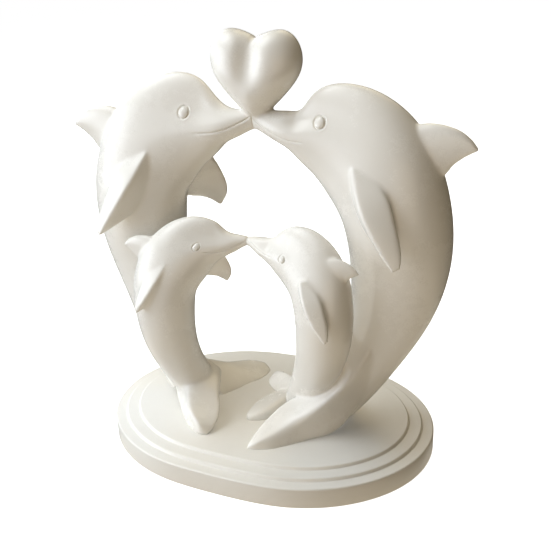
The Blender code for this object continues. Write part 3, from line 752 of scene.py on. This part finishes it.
def family_piece():
    """The casting: its surfaces fused in one skin, its creases softened, its faces carved."""
    surfaces = [rings for figure in FIGURES.values() for rings in dolphin_rings(**figure)]
    for ridge, foot, edge in ((NEAR_LEAF_RIDGE, NEAR_LEAF_FOOT, NEAR_LEAF_EDGE),
                              (FAR_LEAF_RIDGE, FAR_LEAF_FOOT, FAR_LEAF_EDGE)):
        surfaces.append(placed(wedge_rings(ridge, foot, edge, LEAF_EDGE), CALF_HEIGHT, 1))
    surfaces.append(heart_rings())
    mesh = settled(mesh_from("family", surfaces), "REMESH", mode="VOXEL", voxel_size=SKIN_GRAIN)
    relax(mesh)
    trim(mesh, PLATEAU + SEAT_LIFT)
    refine(mesh, face_zone(points_of(mesh)))
    carve(mesh)
    share = SKIN_FACES / sum(len(face.vertices) - 2 for face in mesh.polygons)
    mesh = settled(mesh, "DECIMATE", ratio=share)
    mesh.shade_smooth()
    return shown("family_casting", mesh)


def oval(inset):
    """The plinth's outline drawn in by a distance: an ellipse whose halves lie apart by the straight."""
    turn = np.linspace(0, 2 * np.pi, OVAL_SEGMENTS, endpoint=False)
    half = (PLINTH_LENGTH - PLINTH_STRAIGHT) / 2
    outline = np.stack([half * np.cos(turn) + np.tanh(np.cos(turn) * STRAIGHT_PART) * PLINTH_STRAIGHT / 2,
                        PLINTH_WIDTH / 2 * np.sin(turn)], axis=1)
    normal = unit_rows(np.stack([np.cos(turn) / half, np.sin(turn) / (PLINTH_WIDTH / 2)], axis=1))
    return outline - normal * inset


def arc(middle, radius, start, end, count):
    """Points of a rounded edge in the plinth's profile, as inset and height, from one angle to another."""
    turn = np.radians(np.linspace(start, end, count))
    return np.stack([middle[0] + radius * np.cos(turn), middle[1] + radius * np.sin(turn)], axis=1)


def plinth_piece():
    """The plinth: a profile of flat treads, rounded edges and soft feet carried round the oval."""
    profile = [arc((LIP_ROUND, LIP_ROUND), LIP_ROUND, 270, 180, LIP_POINTS),
               arc((EDGE_ROUND, SLAB_HEIGHT - EDGE_ROUND), EDGE_ROUND, 180, 90, EDGE_POINTS)]
    slope = math.degrees(math.atan2(SLOPE_RISE * STEP_RISE, SLOPE_RUN * RISER_RUN))
    for step in range(STEP_COUNT):
        foot = EDGE_ROUND + TREAD_WIDTH + step * (TREAD_WIDTH + RISER_RUN)
        tread = SLAB_HEIGHT + step * STEP_RISE
        foot_middle = (foot - FOOT_PLACE * FOOT_ROUND, tread + FOOT_ROUND)
        crown_middle = (foot + RISER_RUN * CROWN_PLACE, tread + STEP_RISE - CROWN_ROUND)
        profile += [arc(foot_middle, FOOT_ROUND, 270, 360 - slope / 2, FOOT_POINTS),
                    arc(crown_middle, CROWN_ROUND, 180 - (90 - slope), 90, CROWN_POINTS)]
    rings = [np.column_stack([oval(inset), np.full(OVAL_SEGMENTS, level)])
             for inset, level in np.concatenate(profile)]
    mesh = mesh_from("plinth", [np.stack(rings)])
    mesh.shade_smooth()
    return shown("plinth_casting", mesh)


class Wire:
    """A shader socket. Its sums, differences and products with values or other sockets are nodes."""

    def __init__(self, socket):
        self.socket = socket
        self.tree = socket.id_data

    def node(self, kind, settings, inputs, output=0):
        """A node of a kind with its settings set first, then its inputs as values or wires."""
        made = self.tree.nodes.new(kind)
        for name, value in settings.items():
            setattr(made, name, value)
        for name, value in inputs.items():
            if isinstance(value, Wire):
                self.tree.links.new(value.socket, made.inputs[name])
            else:
                made.inputs[name].default_value = value
        return Wire(made.outputs[output])

    def maths(self, operation, first, second):
        """One operation on two values or wires."""
        return self.node("ShaderNodeMath", {"operation": operation}, {0: first, 1: second})

    def __add__(self, other):
        return self.maths("ADD", self, other)

    __radd__ = __add__

    def __sub__(self, other):
        return self.maths("SUBTRACT", self, other)

    def __rsub__(self, other):
        return self.maths("SUBTRACT", other, self)

    def __mul__(self, other):
        return self.maths("MULTIPLY", self, other)

    __rmul__ = __mul__

    def cloud(self, grain, detail, rough):
        """Noise over this place, round about 0: grain is the size of its patches in metres."""
        noise = {"Vector": self, "Scale": 1 / grain, "Detail": detail, "Roughness": rough}
        return self.node("ShaderNodeTexNoise", {}, noise) - 0.5

    def tint(self, first, second):
        """A colour between two others, by this share."""
        colours = {"Factor": self, 6: (*first, 1), 7: (*second, 1)}
        return self.node("ShaderNodeMix", {"data_type": "RGBA"}, colours, 2)

    def drives(self, shader, name):
        """Links this socket to an input of a shader."""
        self.tree.links.new(self.socket, shader.inputs[name])


def principled(name):
    """A new material, its Principled shader and the place on the object."""
    finish = bpy.data.materials.new(name)
    finish.use_nodes = True
    tree = finish.node_tree
    place = Wire(tree.nodes.new("ShaderNodeTexCoord").outputs["Object"])
    return finish, tree.nodes["Principled BSDF"], place


def mixed(start, shares, wires):
    """A start value plus a share of each wire."""
    return sum((share * wire for share, wire in zip(shares, wires)), start)


def resin(name, deep, pale, roughness):
    """Satin cast resin: cloudy between two ivories, with an uneven sheen and a faint orange peel."""
    finish, shader, place = principled(name)
    patches = [place.cloud(*noise) for noise in (CLOUDS, MOTTLE, SPECKS)]
    mixed(0.5, TINT_SHARES, patches).tint(deep, pale).drives(shader, "Base Color")
    mixed(roughness, SHEEN_SHARES, patches).drives(shader, "Roughness")
    peel = PEEL_SHARES[0] * place.cloud(*WAVES) + PEEL_SHARES[1] * patches[2]
    bumps = {"Strength": 1.0, "Distance": PEEL_DEPTH, "Height": peel}
    place.node("ShaderNodeBump", {}, bumps).drives(shader, "Normal")
    shader.inputs["IOR"].default_value = RESIN_IOR
    return finish


def studio_floor():
    """A plain white sweep that neither shades nor tints the figurine: a disc that curves up into a dome.

    Ring after ring, the dome's radius is its reach by the cosine of the lift and its height by the sine.
    """
    turn = np.linspace(0, 2 * np.pi, FLOOR_SIDES, endpoint=False)
    lift = np.linspace(0, 0.5 * np.pi, FLOOR_RINGS)[:-1]
    reaches = np.append(FLOOR_FLAT, FLOOR_REACH * np.cos(lift))
    levels = np.append(0, FLOOR_REACH * np.sin(lift))
    rings = [np.stack([np.cos(turn) * reach, np.sin(turn) * reach, 0 * turn + level], axis=1)
             for reach, level in zip(reaches, levels)]
    sweep = shown("floor", mesh_from("floor", [np.stack(rings)]))
    paper, shader, _ = principled("paper")
    shader.inputs["Emission Color"].default_value = (1, 1, 1, 1)
    shader.inputs["Emission Strength"].default_value = 1
    sweep.data.materials.append(paper)
    sweep.visible_diffuse = False
    sweep.visible_glossy = False
    sweep.visible_transmission = False
    sweep.visible_shadow = False


def towards(azimuth, elevation):
    """The way out from the target at an azimuth and an elevation in degrees, by their sines and cosines."""
    azimuth, elevation = math.radians(azimuth), math.radians(elevation)
    return Vector((math.sin(azimuth) * math.cos(elevation), -math.cos(azimuth) * math.cos(elevation),
                   math.sin(elevation)))


def camera():
    """The camera at the view's distance from its target, with its upright turned by the roll."""
    azimuth, roll = math.radians(VIEW_AZIMUTH), math.radians(VIEW_ROLL)
    back = towards(VIEW_AZIMUTH, VIEW_ELEVATION)
    right = Vector((math.cos(azimuth), math.sin(azimuth), 0))
    up = back.cross(right)
    right, up = right * math.cos(roll) - up * math.sin(roll), up * math.cos(roll) + right * math.sin(roll)
    eye = shown("camera", bpy.data.cameras.new("camera"))
    eye.data.angle = math.radians(VIEW_FIELD)
    eye.data.clip_start = VIEW_NEAREST
    eye.matrix_world = Matrix((right, up, back)).transposed().to_4x4()
    eye.location = VIEW_TARGET + VIEW_DISTANCE * back
    bpy.context.scene.camera = eye


def lamp(name, azimuth, elevation, size, distance, power, shadow):
    """A square lamp that looks at the target. Its colour is each power by the largest."""
    light = shown(name, bpy.data.lights.new(name, "AREA"))
    light.data.size = size
    light.data.energy = max(power)
    light.data.use_shadow = shadow
    light.data.color = [share / max(power) for share in power]
    away = towards(VIEW_AZIMUTH + azimuth, elevation)
    light.location = VIEW_TARGET + distance * away
    light.rotation_euler = away.to_track_quat("Z", "Y").to_euler()
    light.visible_camera = False


def dark_world():
    """A world that gives no light of its own."""
    world = bpy.data.worlds.new("world")
    bpy.context.scene.world = world
    world.use_nodes = True
    world.node_tree.nodes["Background"].inputs["Strength"].default_value = 0


casting = family_piece()
plinth = plinth_piece()
casting.data.materials.append(resin("ivory_resin", *CASTING_RESIN))
plinth.data.materials.append(resin("ivory_plinth_resin", *PLINTH_RESIN))
for piece, node, slot in ((casting, "dolphin_family", "family_resin"),
                          (plinth, "stepped_plinth", "plinth_resin")):
    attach(piece, "root")
    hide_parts(node)

studio_floor()
camera()
for name, settings in LAMPS.items():
    lamp(name, *settings)
dark_world()
bpy.context.scene.view_settings.view_transform = "Standard"
